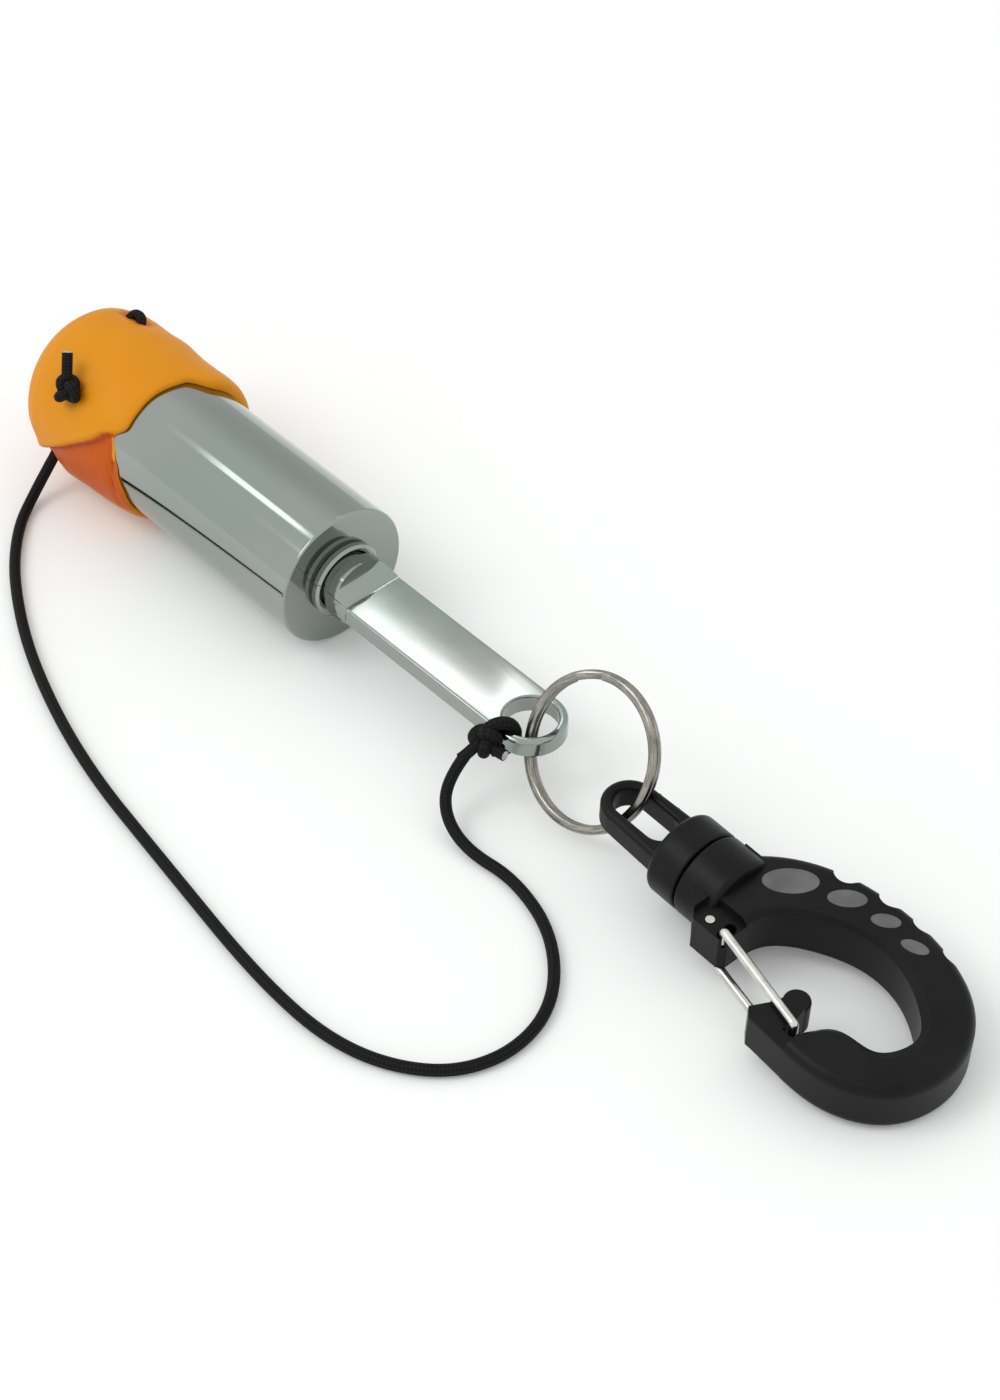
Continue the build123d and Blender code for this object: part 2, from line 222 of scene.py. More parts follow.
def skinned(name, line, section, guide=None):
    """A closed tube whose section follows a line. Its UV map has the turn in U and the distance
    along the line in V, in millimetres. With a guide direction, the section's second axis lies
    along it; without one, the section turns as little as it can."""
    sides = len(section)
    vertices, runs, along = [], [0.0], None
    for a, b in zip(line, line[1:]):
        runs.append(runs[-1] + (b - a).length / MM)
    for i, centre in enumerate(line):
        ahead = (line[min(i + 1, len(line) - 1)] - line[max(i - 1, 0)]).normalized()
        if guide is not None:
            first = guide.cross(ahead).normalized()
        elif along is None:
            first = ahead.orthogonal().normalized()
        else:
            first = (along - ahead * along.dot(ahead)).normalized()
        along = first
        second = ahead.cross(first)
        vertices += [centre + first * a + second * b for a, b in section]
    faces, uvs = [], []
    for i in range(len(line) - 1):
        for j in range(sides):
            k = (j + 1) % sides
            faces.append((i * sides + j, i * sides + k, (i + 1) * sides + k, (i + 1) * sides + j))
            u, v = (j / sides, (j + 1) / sides), (runs[i], runs[i + 1])
            uvs += [(u[0], v[0]), (u[1], v[0]), (u[1], v[1]), (u[0], v[1])]
    for ring, order in ((0, -1), (len(line) - 1, 1)):
        faces.append([ring * sides + j for j in range(sides)][::order])
        uvs += [(0.5, runs[ring])] * sides
    mesh = bpy.data.meshes.new(name)
    mesh.from_pydata([tuple(v) for v in vertices], [], faces)
    layer = mesh.uv_layers.new(name="along")
    for corner, uv in zip(layer.data, uvs):
        corner.uv = uv
    return shaded(new_piece(name, mesh), 40.0)


# %% [markdown]
# ## Helpers for finishes
# A finish is a material with one Principled shader. `Finish.node` adds any node, and `Sum` wraps
# a socket so that shader maths reads as Python: `1 - mask * 0.5` adds its Math nodes by itself.


# %% Shader maths as expressions
class Sum:
    """A socket of a finish that can be added, multiplied and so on."""

    def __init__(self, finish, socket):
        self.finish = finish
        self.socket = socket

    def math(self, operation, *values):
        return self.finish.node("Math", {"operation": operation}, dict(enumerate(values)))

    def __add__(self, other):
        return self.math("ADD", self, other)

    def __sub__(self, other):
        return self.math("SUBTRACT", self, other)

    def __rsub__(self, other):
        return self.math("SUBTRACT", other, self)

    def __mul__(self, other):
        return self.math("MULTIPLY", self, other)

    __radd__ = __add__
    __rmul__ = __mul__

    def wave(self):
        return self.math("SINE", self)

    def lowest(self, other):
        return self.math("MINIMUM", self, other)

    def between(self, low, high):
        """0 below low, 1 above high and a smooth climb between them."""
        sockets = {"Value": self, "From Min": low, "From Max": high}
        return self.finish.node("MapRange", {"interpolation_type": "SMOOTHSTEP"}, sockets)


# %% A finish and its nodes
class Finish:
    """A material with one Principled shader, and the one method that adds other nodes."""

    def __init__(self, name, **plain):
        self.material = bpy.data.materials.new(name)
        self.material.use_nodes = True
        self.tree = self.material.node_tree
        self.shader = self.tree.nodes["Principled BSDF"]
        for socket, value in plain.items():
            self.shader.inputs[socket.replace("_", " ")].default_value = value

    def node(self, kind, settings=None, sockets=None, output=0):
        """Adds a node, sets it up, gives its sockets values or links and returns one output."""
        made = self.tree.nodes.new("ShaderNode" + kind)
        for name, value in (settings or {}).items():
            if name == "stops":
                ramp = made.color_ramp.elements
                while len(ramp) < len(value):
                    ramp.new(0.5)
                for element, (place, colour) in zip(ramp, value):
                    element.position = place
                    element.color = (*colour, 1)
            else:
                setattr(made, name, value)
        for name, value in (sockets or {}).items():
            socket = made.inputs[name]
            if isinstance(value, Sum):
                self.tree.links.new(value.socket, socket)
            else:
                socket.default_value = value
        return Sum(self, made.outputs[output])

    def feed(self, socket, value):
        """Links a value to a socket of the finish's shader."""
        self.tree.links.new(value.socket, self.shader.inputs[socket])

    def here(self, place=None):
        """The point on the object, turned into a place's own axes when one is given."""
        point = self.node("TexCoord", output="Object")
        if place is None:
            return point
        settings = {"vector_type": "TEXTURE"}
        sockets = {
            "Vector": point,
            "Location": place.to_translation(),
            "Rotation": place.to_euler(),
        }
        return self.node("Mapping", settings, sockets)

    def split(self, vector):
        """The three parts of a vector."""
        made = self.node("SeparateXYZ", sockets={"Vector": vector})
        return [Sum(self, output) for output in made.socket.node.outputs]

    def noise(self, vector, scale, detail, roughness):
        """Soft random blotches between 0 and 1, about 1 / scale metres across."""
        sockets = {"Vector": vector, "Scale": scale, "Detail": detail, "Roughness": roughness}
        return self.node("TexNoise", sockets=sockets)

    def mixed(self, factor, a, b):
        """Colour a where the factor is 0 and colour b where it is 1."""
        as_colour = {6: a, 7: b}
        for index, value in as_colour.items():
            if not isinstance(value, Sum):
                as_colour[index] = (*value, 1)
        return self.node("Mix", {"data_type": "RGBA"}, {0: factor, **as_colour}, output=2)

    def bumped(self, height, distance, strength):
        """A normal from a height map, with its full height in millimetres."""
        sockets = {"Height": height, "Distance": distance * MM, "Strength": strength}
        return self.node("Bump", sockets=sockets)

def wear(piece, finish):
    """Gives a piece one finish all over."""
    piece.data.materials.clear()
    piece.data.materials.append(finish.material)


# %% [markdown]
# ## Chrome
# Polished plating is a mirror with a grey tint, so most of its look is the room. It still has a
# faint haze from handling and a very fine unevenness, which only touch roughness and normal, and
# its grey is a little warmer in some places than in others.

# %% Chrome plating
CHROME_TINT = (0.30, 0.34, 0.315)
CHROME_WARM = (0.335, 0.35, 0.335)


def chrome_finish():
    finish = Finish("chrome plating", Metallic=1.0)
    here = finish.here(tube_place)
    haze = finish.noise(here, 160.0, 4.0, 0.6)
    tint = finish.noise(here, 45.0, 1.0, 0.4).between(0.38, 0.68)
    finish.feed("Base Color", finish.mixed(tint, CHROME_TINT, CHROME_WARM))
    finish.feed("Roughness", 0.05 + haze * 0.06)
    fine = finish.noise(here, 900.0, 2.0, 0.5)
    finish.feed("Normal", finish.bumped(fine * 0.4 + haze * 0.6, 0.001, 0.1))
    return finish


chrome = chrome_finish()

# %% [markdown]
# ## The tube
# A plain turned barrel: a thin wall, one closed end with a bore for the handle's stud, and a rim
# with a tiny radius that catches the light. It is turned again here with many more steps than the
# engineering mesh, because a mirror shows every facet.

# %% Tube barrel
WALL = 1.3
END_WALL = 5.0
STUD_R = 4.05
RIM_ROUND = 0.45
MOUTH_BEVEL = 0.4
long = tube_length / MM
outer = tube_r / MM


def tube_outline():
    """The barrel's wall in millimetres, from the stud's bore round the outside and back inside."""
    corner = [
        (-RIM_ROUND + RIM_ROUND * sin(a), outer - RIM_ROUND + RIM_ROUND * cos(a))
        for a in (radians(step * 15) for step in range(7))
    ]
    mouth = [(-long + MOUTH_BEVEL, outer), (-long, outer - MOUTH_BEVEL), (-long, outer - WALL)]
    inside = [(-END_WALL, outer - WALL), (-END_WALL, STUD_R)]
    return [(0.0, STUD_R), *corner[::-1], *mouth, *inside]


tube_barrel = placed(turned("tube_barrel", tube_outline(), 192, closed=True), tube_place)
shaded(tube_barrel, 30.0, weighted=True)
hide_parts("tube_shell")
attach(tube_barrel, "tube")
wear(tube_barrel, chrome)
print("tube barrel faces", len(tube_barrel.data.polygons))

# %% [markdown]
# ## The handle and its washer
# Both are machined parts whose shape is already right in the frame, so each is copied and welded.
# Weighted normals keep the milled flats flat in the mirror.

# %% Handle and washer
handle = copied("handle_bar", "eye_handle", 28.0)
washer = copied("face_washer", "face_collar", 28.0)
for piece in (handle, washer):
    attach(piece, "tube")
    wear(piece, chrome)

# %% [markdown]
# ## The rubber cap
# The cap is stretched over the tube, so it isn't a clean turned shape. Its lip reaches further on
# some sides than on others, it has a fold where the cord pulls it, and it puckers round each
# hole. The outline is spun first, and the vertices are then pushed by a few smooth functions of
# where they are. Two point attributes hold the painted shade of each vertex in a fold and in a
# pucker. A last step keeps the rubber on top of the table it lies on.

# %% The cap's outline
CAP_RIM = -46.5
CAP_END = -75.2
CAP_BORE = 13.03
CAP_TILT = 0.9
LIP_FLARE = 1.0
LIP_START = -54
# Angles round the tube in degrees, and how far the lip reaches there in millimetres.
LIP_TURNS = (
    (-145, 2.2),
    (-60, 2.2),
    (38, 3.9),
    (56, 3.7),
    (76, 0.6),
    (106, -0.1),
    (136, 0.2),
    (149, -1.9),
    (160, -0.4),
    (172, 0.9),
    (194, 2.4),
    (215, 2.2),
)


def cap_outline():
    """The cap as it would be moulded: the middle of its end, its outside, its lip, its inside."""
    outside = [
        (CAP_END, 0.0),
        (CAP_END, 6.5),
        (CAP_END + 0.3, 9.0),
        (CAP_END + 1.1, 11.0),
        (CAP_END + 2.5, 12.8),
        (CAP_END + 4.3, 14.3),
        (CAP_END + 6.8, 15.2),
        (CAP_END + 10.5, 15.6),
        (CAP_END + 17.0, 15.6),
        (CAP_RIM - 6.5, 15.2),
        (CAP_RIM - 3.2, 14.75),
        (CAP_RIM - 1.2, 14.3),
        (CAP_RIM - 0.4, 13.95),
        (CAP_RIM, 13.65),
        (CAP_RIM, CAP_BORE),
    ]
    inside = [
        (CAP_RIM - 0.08, CAP_BORE),
        (CAP_END + 3.2, CAP_BORE),
        (CAP_END + 2.6, CAP_BORE - 0.8),
        (CAP_END + 2.6, 0.0),
    ]
    return walked(outside, 0.55) + walked(inside, 2.0)


# %% Pushing the rubber about
def climb(value, low, high):
    """0 below low, 1 above high and a smooth climb between them."""
    t = min(1.0, max(0.0, (value - low) / (high - low)))
    return t * t * (3 - 2 * t)


def lip_reach(angle):
    """How far the lip reaches past the rim's plane, in millimetres, at an angle round the tube."""
    for (a, low), (b, high) in zip(LIP_TURNS, LIP_TURNS[1:]):
        if a <= angle <= b:
            return low + (high - low) * climb(angle, a, b)
    return LIP_TURNS[0][1]


# Where the cord passes the cap: places along the tube and angles round it.
CAP_HOLES = ((-66.6, 60.0), (-64.2, 60.0), (-59.2, 137.0), (-66.8, 215.0))
PUCKER_REACH = 2.4
PUCKER_DEPTH = 0.75
FOLD_START = 147.0
FOLD_SLOPE = 0.367
FOLD_DEPTH = 1.2
FOLD_REACH = 9.0
RIDGE_HEIGHT = 0.35
LIP_GROOVE = 0.55
GROOVE_WIDTH = 0.55


def fold_at(x, angle):
    """How far past the fold's crease a point is, in millimetres towards the lip, and how strong
    the fold is at that angle."""
    crease = CAP_RIM - 1.0 - FOLD_SLOPE * (angle - FOLD_START)
    strength = climb(angle, FOLD_START - 4, FOLD_START + 3) * (1 - climb(angle, 200, 232))
    return x - crease, strength


def pushed(x, radius, angle):
    """Where a point of the cap moves to, and its painted shade from a fold and from a pucker."""
    outside = climb(radius, CAP_BORE + 0.2, CAP_BORE + 0.9)
    at_lip = climb(x, LIP_START, CAP_RIM)
    flare = at_lip * (1 - climb(abs(angle - 30), 20, 60))
    ahead, strength = fold_at(x, angle)
    below = climb(ahead, -0.45, 0.35) * strength
    step = below * exp(-max(0.0, ahead) / FOLD_REACH)
    ridge = exp(-(((ahead + 1.6) / 1.5) ** 2)) * strength
    depth = FOLD_DEPTH * step - RIDGE_HEIGHT * ridge - LIP_FLARE * flare
    groove_at = CAP_RIM - 0.9 + 0.45 * lip_reach(angle)
    past_groove = x + lip_reach(angle) * at_lip - groove_at
    groove = exp(-((past_groove / GROOVE_WIDTH) ** 2))
    groove *= climb(angle, 150, 162) * (1 - climb(angle, 208, 222))
    depth += LIP_GROOVE * groove
    pucker = 0.0
    for hole_x, hole_angle in CAP_HOLES:
        across = radians((angle - hole_angle + 180) % 360 - 180) * radius
        away = hypot(x - hole_x, across)
        rays = 0.8 + 0.2 * cos(6 * atan2(across, x - hole_x))
        pucker = max(pucker, exp(-((away / PUCKER_REACH) ** 2)) * rays)
    depth += PUCKER_DEPTH * pucker
    slack = 0.12 * sin(radians(3 * angle) + x * 0.35) + 0.07 * sin(radians(7 * angle) - x * 0.6)
    radius = radius - outside * (depth - slack * climb(x, -70, -64))
    x = x + lip_reach(angle) * climb(x, -55.0, CAP_RIM)
    crease = below * exp(-max(0.0, ahead) / 1.6)
    # Painted shade: darker below the fold's crease, most at the crease, and in the lip's groove.
    shade = max(0.55 * below + 0.45 * crease, 0.9 * groove)
    return x, radius, outside * shade, outside * pucker


# %% Making the cap
cap = turned("orange_cap", cap_outline(), 168)
fold_shades, pucker_shades = [], []
for vertex in cap.data.vertices:
    x, y, z = (c / MM for c in vertex.co)
    radius, angle = hypot(y, z), degrees(atan2(z, y))
    lean = CAP_TILT * (1 - climb(x, CAP_END + 4, CAP_END + 14)) * radius / 15
    vertex.co.x -= lean * cos(radians(angle - 60)) * MM
    if angle < -145:
        angle += 360
    if radius > CAP_BORE - 1.2 and x > CAP_END + 1.5:
        new_x, new_radius, fold, pucker = pushed(x, radius, angle)
        y, z = y * new_radius / radius, z * new_radius / radius
        vertex.co = (vertex.co.x + (new_x - x) * MM, y * MM, z * MM)
    else:
        fold, pucker = 0.0, 0.0
    fold_shades.append(fold)
    pucker_shades.append(pucker)
# The fold and pucker attributes hold painted shade for the rubber's colour.
for name, values in (("fold", fold_shades), ("pucker", pucker_shades)):
    attribute = cap.data.attributes.new(name, "FLOAT", "POINT")
    attribute.data.foreach_set("value", values)
only(cap)
round_off = cap.modifiers.new("round off", "SUBSURF")
round_off.levels = round_off.render_levels = 1
bpy.ops.object.modifier_apply(modifier=round_off.name)
placed(cap, tube_place)
for vertex in cap.data.vertices:
    vertex.co.z = max(vertex.co.z, 0.0)
shaded(cap, 60.0)
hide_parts("end_cap")
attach(cap, "cap")
print("cap faces", len(cap.data.polygons))

# %% [markdown]
# ## Orange rubber
# Soft satin rubber, with light and shade painted into its colour: the lit side is a warm yellow
# orange, the closed end and the flank get a redder painted shade, and the folds and puckers get
# a dark red painted shade, where light bounces between orange walls.

# %% Rubber finish
RUBBER_LIT = (0.68, 0.265, 0.003)
RUBBER_PAINTED_SHADE = (0.55, 0.145, 0.003)
RUBBER_FOLD_PAINTED_SHADE = (0.47, 0.065, 0.003)
RUBBER_PIT_PAINTED_SHADE = (0.20, 0.012, 0.004)


def rubber_finish():
    finish = Finish("orange rubber", IOR=1.45, Specular_IOR_Level=0.22)
    here = finish.here(tube_place)
    x, _, z = finish.split(here)
    fold = finish.node("Attribute", {"attribute_name": "fold"}, output="Fac")
    pucker = finish.node("Attribute", {"attribute_name": "pucker"}, output="Fac")
    cloud = finish.noise(here, 55.0, 2.0, 0.5)
    grain = finish.noise(here, 1500.0, 2.0, 0.6)
    # Painted shade: redder towards the closed end and along the lower flank, mixed with random
    # blotches.
    end = 1 - x.between((CAP_END - 1) * MM, (CAP_END + 5) * MM)
    flank_painted_shade = 1 - z.between(-9 * MM, 3 * MM)
    painted_shade_and_blotches = (end * 0.55 + cloud * 0.35 + flank_painted_shade * 0.5).lowest(1.0)
    colour = finish.mixed(painted_shade_and_blotches, RUBBER_LIT, RUBBER_PAINTED_SHADE)
    # Painted shade in the folds, the crease, the groove and the puckers, darkest at their middles.
    colour = finish.mixed(fold.between(0.05, 0.55) * 0.9, colour, RUBBER_FOLD_PAINTED_SHADE)
    colour = finish.mixed(fold.between(0.6, 1.0) * 0.75, colour, RUBBER_PIT_PAINTED_SHADE)
    colour = finish.mixed(pucker.between(0.15, 0.7) * 0.75, colour, RUBBER_FOLD_PAINTED_SHADE)
    colour = finish.mixed(pucker.between(0.6, 1.0) * 0.8, colour, RUBBER_PIT_PAINTED_SHADE)
    finish.feed("Base Color", colour)
    finish.feed("Roughness", 0.42 + grain * 0.12 + cloud * 0.06)
    finish.feed("Normal", finish.bumped(grain + cloud * 0.6, 0.03, 0.25))
    return finish


wear(cap, rubber_finish())

# %% [markdown]
# ## The tether
# The cord is 2 mm braided polyester, about a quarter of a metre from the cap to the handle. It
# leaves the cap downwards, lies on the table in one loose curve, and climbs to its knot on the
# eye. Its line is one NURBS curve with the same control points as the engineering model.

# %% The tether's line
CORD_D = 2.0 * MM
# Control points in the world's axes, in metres.
ROUTE = (
    (-0.10099, -0.01125, 0.00650),
    (-0.10089, -0.01655, 0.00105),
    (-0.09509, -0.02405, 0.00105),
    (-0.08409, -0.03285, 0.00105),
    (-0.06479, -0.04295, 0.00105),
    (-0.03849, -0.05145, 0.00105),
    (-0.01059, -0.05575, 0.00105),
    (0.02061, -0.06045, 0.00105),
    (0.03961, -0.06005, 0.00105),
    (0.05271, -0.05295, 0.00105),
    (0.05731, -0.04235, 0.00105),
    (0.05451, -0.03075, 0.00105),
    (0.04391, -0.02105, 0.00105),
    (0.03071, -0.01715, 0.00105),
    (0.02051, -0.01855, 0.00115),
    (0.01371, -0.01725, 0.00320),
    (0.01011, -0.01345, 0.00610),
    (0.01071, -0.00995, 0.00960),
)
tether_line = smooth_line(ROUTE, 24)
tether_length = sum((b - a).length for a, b in zip(tether_line, tether_line[1:]))
print("tether length in mm", round(tether_length / MM, 1), "points", len(tether_line))

# %% The cord's skins
tether = skinned("tether_braid", tether_line, round_section(CORD_D / 2))
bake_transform(tether)
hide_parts("tether_cord")


# %% [markdown]
# ## Knots
# An overhand knot pulled tight is a trefoil: a line that goes twice round while it weaves up and
# down three times. Both knots are that curve, sized so that the cord nearly touches itself, with
# a tail whose cut end shows the pale core. The hitch also has a loop through the eye, and a short
# lead that joins the free cord to its knot.


# %% A tight overhand knot
def overhand(size, thickness, turns=(0.0, 2 * pi), steps=30):
    """Control points of a trefoil in its own plane, in millimetres."""
    points = []
    for i in range(steps + 1):
        t = turns[0] + (turns[1] - turns[0]) * i / steps
        x = (sin(t) + 2 * sin(2 * t)) * size / 3
        y = (cos(t) - 2 * cos(2 * t)) * size / 3
        points.append(Vector((x, y, -sin(3 * t) * thickness)))
    return points


def set_down(points, centre, turn):
    """Turns points by a rotation and moves them to a centre, all in millimetres."""
    return [Vector(centre) + turn @ point for point in points]


def cord_piece(name, points, place, body, radius=0.98):
    """Cord along control points given in millimetres in a place's own axes."""
    line = smooth_line([place @ (Vector(point) * MM) for point in points], 8)
    piece = skinned(name, line, round_section(radius * MM, 18))
    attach(piece, body)
    return piece


def round_tube(x, radius, angle):
    """A point at a distance and an angle round the tube, in the tube's place."""
    return Vector((x, radius * cos(radians(angle)), radius * sin(radians(angle))))


# %% The cord in the cap
HOLE_X, KNOT_X = -66.8, -59.2
KNOT_ANGLE = 137
inner_cord = [
    round_tube(HOLE_X, 15.9, 215),
    round_tube(HOLE_X, 8.0, 200),
    round_tube(HOLE_X, 9.0, 75),
    round_tube(HOLE_X, 14.6, 62),
    round_tube(HOLE_X + 0.5, 15.9, 60),
    round_tube(HOLE_X + 2.3, 15.9, 60),
    round_tube(HOLE_X + 2.8, 14.6, 61),
    round_tube(HOLE_X + 2.8, 10.0, 80),
    round_tube(KNOT_X - 2.0, 7.0, 120),
    round_tube(KNOT_X, 15.0, KNOT_ANGLE),
    round_tube(KNOT_X, 17.2, KNOT_ANGLE),
]
cap_line = cord_piece("cap_cord_braid", inner_cord, tube_place, "cap")
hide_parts("cap_cord")

# %% The stopper knot on the cap
outward = Matrix.Rotation(radians(KNOT_ANGLE - 90), 3, "X")
knot_turn = outward @ Matrix.Rotation(radians(-25), 3, "Z")
knot_at = round_tube(KNOT_X, 17.3, KNOT_ANGLE)
stopper = set_down(overhand(2.0, 0.9, (0.25, 2 * pi + 0.15)), knot_at, knot_turn)
cap_knot = cord_piece("stopper_knot", stopper, tube_place, "cap")
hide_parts("cap_knot")
tail_root = round_tube(KNOT_X - 1.0, 17.8, 132)
tail_tip = round_tube(KNOT_X - 3.0, 19.5, 120.5)
tail_points = [tail_root, tail_root.lerp(tail_tip, 0.5), tail_tip]
stopper_tail = cord_piece("stopper_tail", tail_points, tube_place, "cap")

# %% The hitch on the eye
hitch = [
    Vector((46.3, -6.9, -2.4)),
    Vector((47.0, -5.4, -3.1)),
    Vector((47.5, -3.6, -1.9)),
    Vector((47.6, -3.1, 0.4)),
    Vector((47.2, -4.2, 2.7)),
    Vector((46.3, -6.3, 3.3)),
    Vector((45.6, -8.0, 2.2)),
    Vector((45.2, -8.6, 0.8)),
]
hitch_loop = cord_piece("hitch_loop", hitch, tube_place, "tube", radius=1.12)
knot_turn = Matrix.Rotation(radians(62), 3, "X") @ Matrix.Rotation(radians(20), 3, "Z")
hitch_points = set_down(overhand(2.05, 0.95, (0.2, 2 * pi + 0.1)), (46.0, -8.4, 0.7), knot_turn)
hitch_knot = cord_piece("hitch_knot", hitch_points, tube_place, "tube", radius=1.05)
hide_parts("eye_knot")
hitch_tail_points = [
    Vector((46.6, -8.6, 0.2)),
    Vector((48.4, -8.3, 0.0)),
    Vector((50.3, -8.0, 0.1)),
]
hitch_tail = cord_piece("hitch_tail", hitch_tail_points, tube_place, "tube")
tether_end = (tube_place.inverted() @ Vector(ROUTE[-1])) / MM
hitch_lead_points = [
    tether_end + Vector((-0.4, -0.6, -0.5)),
    tether_end,
    Vector((45.7, -9.2, 0.6)),
]
hitch_lead = cord_piece("hitch_lead", hitch_lead_points, tube_place, "tube")

# %% [markdown]
# ## Cord finish
# Black braid: two sets of strands cross at a slant, so the height is the product of two slanted
# waves over the UV map. The strands' crowns are a little lighter and smoother.


# %% Braided cord
STRANDS_ROUND = 4
STRAND_RISE = 5.2
BRAID_DARK = (0.0025,) * 3
BRAID_LIGHT = (0.009,) * 3


def cord_finish():
    finish = Finish("black braid", Specular_IOR_Level=0.15)
    uv = finish.node("UVMap", {"uv_map": "along"})
    u, v, _ = finish.split(uv)
    slant = u * (2 * pi * STRANDS_ROUND)
    rise = v * STRAND_RISE
    weave = (slant + rise).wave() * (slant - rise).wave()
    fuzz = finish.noise(finish.here(), 2500.0, 3.0, 0.7)
    crown = weave * 0.5 + 0.5
    lightness = (crown * 0.7 + fuzz * 0.3).between(0.2, 0.9)
    finish.feed("Base Color", finish.mixed(lightness, BRAID_DARK, BRAID_LIGHT))
    finish.feed("Roughness", 0.75 - crown * 0.15)
    finish.feed("Normal", finish.bumped(crown + fuzz * 0.5, 0.09, 0.5))
    return finish


braid = cord_finish()
cords = (tether, cap_line, cap_knot, stopper_tail, hitch_loop, hitch_knot, hitch_tail, hitch_lead)
for piece in cords:
    wear(piece, braid)

# %% [markdown]
# ### The pale core at a cut end
# A braided cord has a core of straight white strands. Where it is cut, the core shows as a small
# rough disc, slightly domed by the heat of the cutter.


# %% Cut ends
def core_finish():
    finish = Finish("cord core")
    speck = finish.noise(finish.here(), 3000.0, 2.0, 0.7).between(0.35, 0.65)
    finish.feed("Base Color", finish.mixed(speck, (0.30, 0.29, 0.25), (0.58, 0.57, 0.52)))
    finish.feed("Roughness", 0.8 - speck * 0.1)
    finish.feed("Normal", finish.bumped(speck, 0.05, 0.6))
    return finish


core = core_finish()
CORE_R = 0.78


def cut_end(name, tip, back, body):
    """A domed disc of core on a tail's tip, facing away from the point behind it."""
    aim = (tip - back).normalized()
    line = [tip - aim * 0.3, tip + aim * 0.02, tip + aim * 0.12, tip + aim * 0.2]
    line = [tube_place @ (point * MM) for point in line]
    piece = skinned(name, line, round_section(CORE_R * MM, 16))
    dome = line[-1]
    for vertex in piece.data.vertices:
        if (vertex.co - dome).length < 0.8 * MM and (vertex.co - line[1]).length > 0.79 * MM:
            vertex.co = dome + (vertex.co - dome) * 0.6
    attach(piece, body)
    wear(piece, core)
    return piece


stopper_core = cut_end("stopper_core", tail_tip, tail_root, "cap")
hitch_core = cut_end("hitch_core", hitch_tail_points[-1], hitch_tail_points[-2], "tube")

# %% [markdown]
# ## The split ring
# A split ring is one flat steel wire wound twice, with a short stretch where it crosses from the
# lower coil to the upper one. The wire's line is worked out turn by turn, and a slightly crowned
# section is swept along it, held square to the ring's plane.

# %% Ring coils
RING_R = 12.45
WIRE_RADIAL = 1.5
WIRE_AXIAL = 1.04
RING_TILT = radians(57)
RING_CENTRE = Vector((61.1, 0.9, 3.0))
JOG_START, JOG_END = 108.0, 138.0
RING_STEP = 2
ring_turn = Matrix.Rotation(RING_TILT, 3, "X")


def ring_line():
    """Two turns of wire, the second on top of the first, from the end of the crossing round to
    its start. Angles are in degrees, in the ring's own plane."""
    points = []
    for step in range(int((720 + JOG_START - JOG_END) / RING_STEP) + 1):
        angle = JOG_END + RING_STEP * step
        side = -1 + 2 * climb(angle, 360 + JOG_START, 360 + JOG_END)
        a = radians(angle)
        point = Vector((RING_R * cos(a), RING_R * sin(a), side * WIRE_AXIAL / 2))
        points.append(tube_place @ ((RING_CENTRE + ring_turn @ point) * MM))
    return points


def wire_section(radial, axial, corner=0.44, crown=0.03):
    """A flat wire's section with round corners and slightly crowned faces."""
    points = []
    for sx, sy, start in ((1, 1, 0), (-1, 1, 90), (-1, -1, 180), (1, -1, 270)):
        for step in range(4):
            a = radians(start + 30 * step)
            x = sx * (radial / 2 - corner) + corner * cos(a)
            y = sy * (axial / 2 - corner) + corner * sin(a)
            points.append((x * MM, y * MM))
        if sx * sy > 0:
            points.append((0.0, sy * (axial / 2 + crown) * MM))
        else:
            points.append((sx * (radial / 2 + crown) * MM, 0.0))
    return points


ring_normal = (tube_place.to_3x3() @ (ring_turn @ Vector((0, 0, 1)))).normalized()
ring = skinned("ring_coils", ring_line(), wire_section(WIRE_RADIAL, WIRE_AXIAL), ring_normal)
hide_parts("split_ring")
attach(ring, "ring")
print("ring faces", len(ring.data.polygons))

# %% [markdown]
# ### Drawn steel
# Wire is pulled through a die, which leaves fine streaks along it. The pattern is stretched along
# V of the UV map, so it follows the wire round every bend. The ring's steel has darkened, and
# the gate's is bright.


# %% Steel of the ring and of the gate
def steel_finish(name, light, dark, roughness):
    """Bare metal with streaks along V, between a light and a dark grey."""
    finish = Finish(name, Metallic=1.0)
    uv = finish.node("UVMap", {"uv_map": "along"})
    stretch = finish.node("Mapping", sockets={"Vector": uv, "Scale": (26.0, 0.35, 1.0)})
    streak = finish.noise(stretch, 1.0, 3.0, 0.6)
    patch = finish.noise(finish.here(), 300.0, 3.0, 0.6)
    lightness = (streak * 0.6 + patch * 0.4).between(0.3, 0.7)
    finish.feed("Base Color", finish.mixed(lightness, dark, light))
    finish.feed("Roughness", roughness + patch * 0.12)
    finish.feed("Normal", finish.bumped(streak, 0.02, 0.4))
    return finish


ring_steel = steel_finish("ring steel", (0.44, 0.42, 0.385), (0.15, 0.14, 0.125), 0.17)
wear(ring, ring_steel)

# %% [markdown]
# ## The wire gate
# The gate is one bent stainless wire. Its line is known from its pivot, so it is swept again as
# a round wire, which gives it the same lengthwise streaks as the ring.

